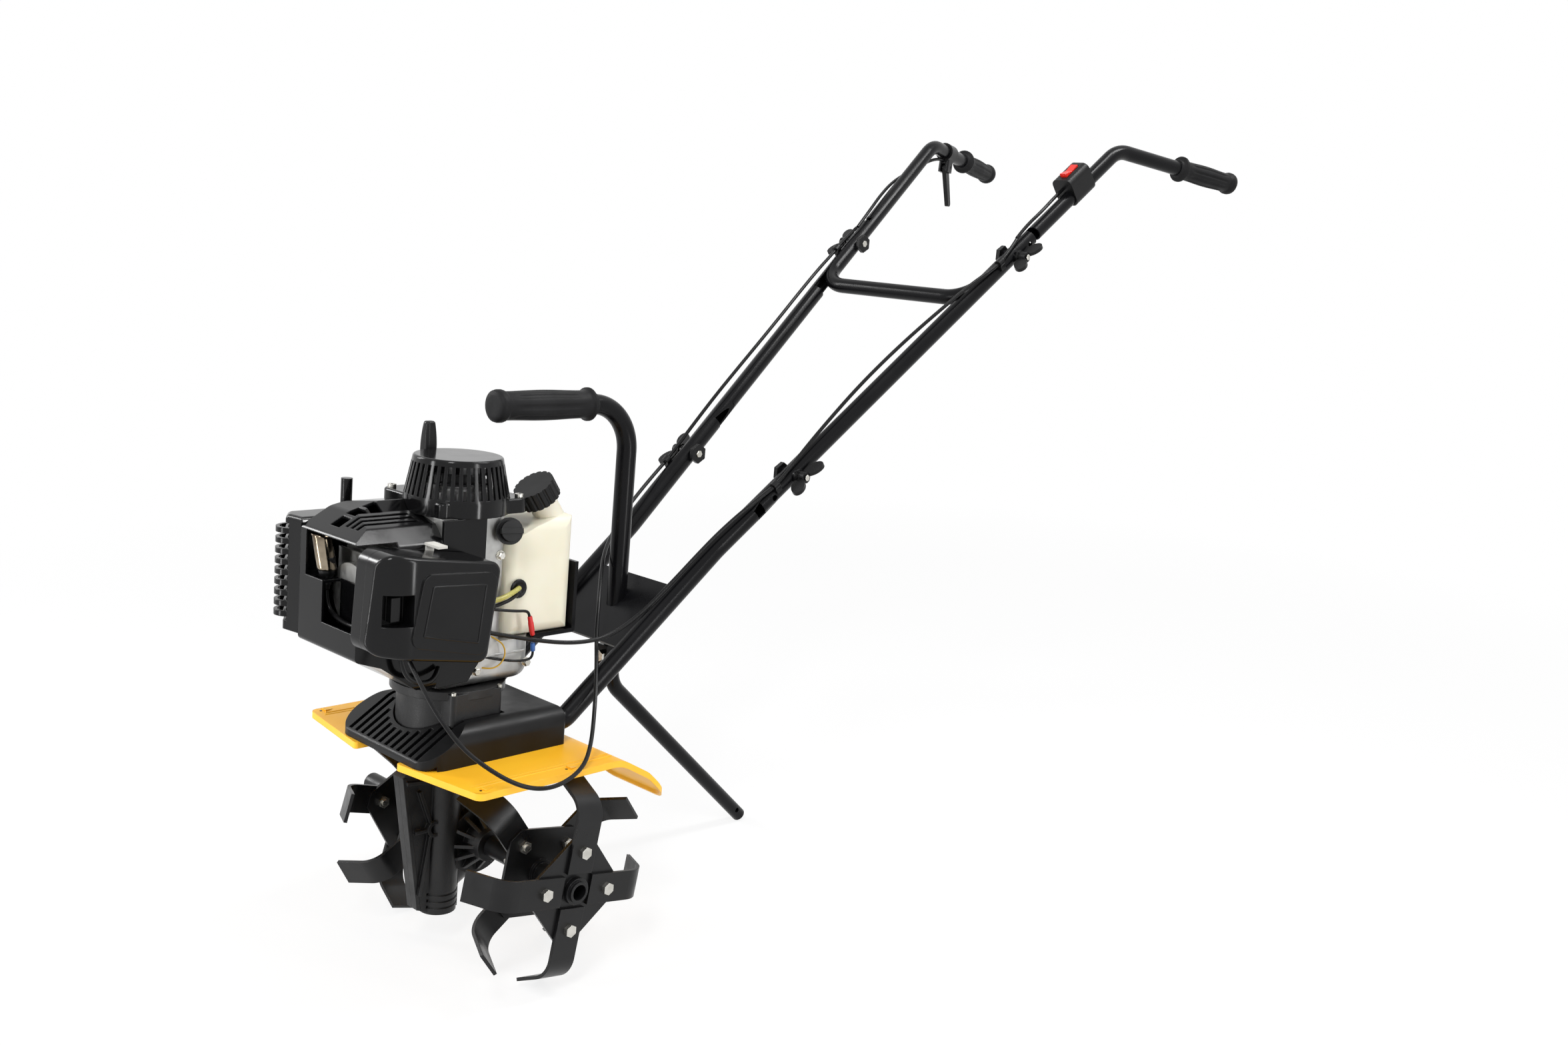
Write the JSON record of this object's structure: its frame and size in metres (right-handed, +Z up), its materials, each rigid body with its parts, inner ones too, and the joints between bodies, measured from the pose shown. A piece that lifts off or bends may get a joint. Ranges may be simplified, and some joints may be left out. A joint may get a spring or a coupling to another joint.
{
  "type": "mini tiller",
  "caption": "Petrol mini tiller with star tines on a worm-drive axle, wide fender, folding two-part handle, lift handle and drag bar.",
  "frame": {"origin": "on the ground under the middle of the machine's box", "axes": "+X forward, +Y to the operator's left, +Z up"},
  "size_m": [1.505, 0.5042, 0.9717],
  "materials": {
    "black_plastic": "satin",
    "black_tube": "gloss",
    "black_foam": "matt",
    "tine_steel": "gloss",
    "case_casting": "black painted casting",
    "engine_casting": "sand cast",
    "fender_orange": "satin",
    "tank_white": "translucent",
    "rocker_red": "satin",
    "choke_white": "satin",
    "bright_steel": "zinc plated",
    "shaft_steel": "ground",
    "gear_bronze": "cut",
    "flywheel_cast": "cast",
    "muffler_steel": "heat-proof grey",
    "cable_rubber": "matt"
  },
  "bodies": {
    "chassis": {"gearcase_left": "case_casting", "gearcase_right": "case_casting", "bearings": "shaft_steel", "case_cover": "black_plastic", "fender": "fender_orange", "clutch_housing": "case_casting", "engine_block": "engine_casting", "engine_shroud": "black_plastic", "muffler": "muffler_steel", "muffler_guard": "black_plastic", "recoil_cover": "black_plastic", "fuel_tank": "tank_white", "tank_bracket": "black_tube", "engine_hoses": "cable_rubber", "carburettor": "engine_casting", "filter_case": "black_plastic", "filter_cover": "black_plastic", "plug_cap": "bright_steel", "ignition_lead": "cable_rubber", "lower_tubes": "black_tube", "cross_plate": "black_tube", "lift_handle": "black_tube", "lift_grip": "black_foam", "machine_screws": "bright_steel", "throttle_cable": "cable_rubber", "stop_lead": "cable_rubber"},
    "drag_bar": {"drag_bar": "black_tube"},
    "tine_rotor": {"tine_shaft": "shaft_steel", "worm_wheel": "gear_bronze", "tine_hub_left": "tine_steel", "tine_hub_right": "tine_steel", "tine_blades_left": "tine_steel", "tine_blades_right": "tine_steel", "tine_bolts": "bright_steel"},
    "worm_drive": {"worm_shaft": "shaft_steel", "clutch_drum": "shaft_steel"},
    "crank": {"crankshaft": "shaft_steel", "flywheel": "flywheel_cast", "clutch_shoes": "shaft_steel"},
    "starter_reel": {"starter_reel": "black_plastic"},
    "starter_grip": {"starter_grip": "black_plastic"},
    "choke_lever": {"choke_lever": "choke_white"},
    "fuel_cap": {"fuel_cap": "black_plastic"},
    "filler_cap": {"filler_cap": "black_plastic"},
    "mid_handle": {"mid_tube_left": "black_tube", "mid_tube_right": "black_tube", "joint_bolts": "bright_steel", "cable_clips": "black_plastic", "mid_cables": "cable_rubber"},
    "handlebar": {"handlebar": "black_tube", "handlebar_grips": "black_foam", "switch_housing": "black_plastic", "throttle_mount": "black_plastic", "handlebar_cables": "cable_rubber"},
    "stop_rocker": {"stop_rocker": "rocker_red"},
    "throttle_lever": {"throttle_lever": "black_plastic"},
    "wing_nut_lower_left": {"wing_nut_lower_left": "black_plastic"},
    "wing_nut_lower_right": {"wing_nut_lower_right": "black_plastic"},
    "wing_nut_upper_left": {"wing_nut_upper_left": "black_plastic"},
    "wing_nut_upper_right": {"wing_nut_upper_right": "black_plastic"}
  },
  "joints": [
    {"name": "tine_spin", "type": "hinge", "parent": "chassis", "child": "tine_rotor", "pos_m": [0.56229, 0, 0.1222], "axis": [0, 1, 0], "continuous": true},
    {"name": "worm_spin", "type": "hinge", "parent": "chassis", "child": "worm_drive", "pos_m": [0.60419, 0, 0.12513], "axis": [-0.0698, 0, 0.9976], "continuous": true},
    {"name": "crank_spin", "type": "hinge", "parent": "chassis", "child": "crank", "pos_m": [0.58326, 0, 0.4244], "axis": [-0.0698, 0, 0.9976], "continuous": true},
    {"name": "starter_pull", "type": "slide", "parent": "chassis", "child": "starter_grip", "axis": [-0.0698, 0, 0.9976], "range_m": [0, 0.6], "stiffness_N_per_m": 4, "springref_m": -0.6},
    {"name": "reel_spin", "type": "hinge", "parent": "chassis", "child": "starter_reel", "pos_m": [0.57343, 0, 0.56506], "axis": [-0.0698, 0, 0.9976], "continuous": true},
    {"name": "choke_turn", "type": "hinge", "parent": "chassis", "child": "choke_lever", "pos_m": [0.6516, 0.055, 0.4793], "axis": [0, 1, 0], "range_deg": [0, 20]},
    {"name": "fuel_cap_turn", "type": "hinge", "parent": "chassis", "child": "fuel_cap", "pos_m": [0.47078, 0.02, 0.52781], "axis": [0.515, 0, 0.8572], "continuous": true},
    {"name": "filler_cap_turn", "type": "hinge", "parent": "chassis", "child": "filler_cap", "pos_m": [0.54541, 0.057, 0.50696], "axis": [0.2848, 0.9305, 0.2305], "continuous": true},
    {"name": "drag_bar_slide", "type": "slide", "parent": "chassis", "child": "drag_bar", "axis": [-0.0698, 0, 0.9976], "range_m": [-0.06, 0]},
    {"name": "lower_fold", "type": "hinge", "parent": "chassis", "child": "mid_handle", "pos_m": [0.11797, 0, 0.52709], "axis": [0, 1, 0], "range_deg": [0, 115]},
    {"name": "upper_fold", "type": "hinge", "parent": "mid_handle", "child": "handlebar", "pos_m": [-0.27919, 0, 0.80797], "axis": [0, 1, 0], "range_deg": [0, 100]},
    {"name": "stop_rock", "type": "hinge", "parent": "handlebar", "child": "stop_rocker", "pos_m": [-0.40094, 0.15723, 0.92653], "axis": [-0.1308, -0.9914, -0.0091], "range_deg": [-8, 8]},
    {"name": "throttle_squeeze", "type": "hinge", "parent": "handlebar", "child": "throttle_lever", "pos_m": [-0.55622, -0.18963, 0.92915], "axis": [-0.2413, 0.9703, -0.0169], "range_deg": [0, 35], "stiffness_Nm_per_rad": 0.4, "springref_deg": -20.05},
    {"name": "wing_nut_lower_left_turn", "type": "hinge", "parent": "mid_handle", "child": "wing_nut_lower_left", "pos_m": [0.11797, 0.0972, 0.52709], "axis": [0, 1, 0], "continuous": true},
    {"name": "wing_nut_lower_right_turn", "type": "hinge", "parent": "mid_handle", "child": "wing_nut_lower_right", "pos_m": [0.11797, -0.0972, 0.52709], "axis": [0, -1, 0], "continuous": true},
    {"name": "wing_nut_upper_left_turn", "type": "hinge", "parent": "mid_handle", "child": "wing_nut_upper_left", "pos_m": [-0.27919, 0.1473, 0.80797], "axis": [0, 1, 0], "continuous": true},
    {"name": "wing_nut_upper_right_turn", "type": "hinge", "parent": "mid_handle", "child": "wing_nut_upper_right", "pos_m": [-0.27919, -0.1473, 0.80797], "axis": [0, -1, 0], "continuous": true}
  ],
  "couplings": [
    {"joint": "worm_spin", "follows": "tine_spin", "ratio": 30},
    {"joint": "reel_spin", "follows": "starter_pull", "rad_per_m": 33.333}
  ]
}
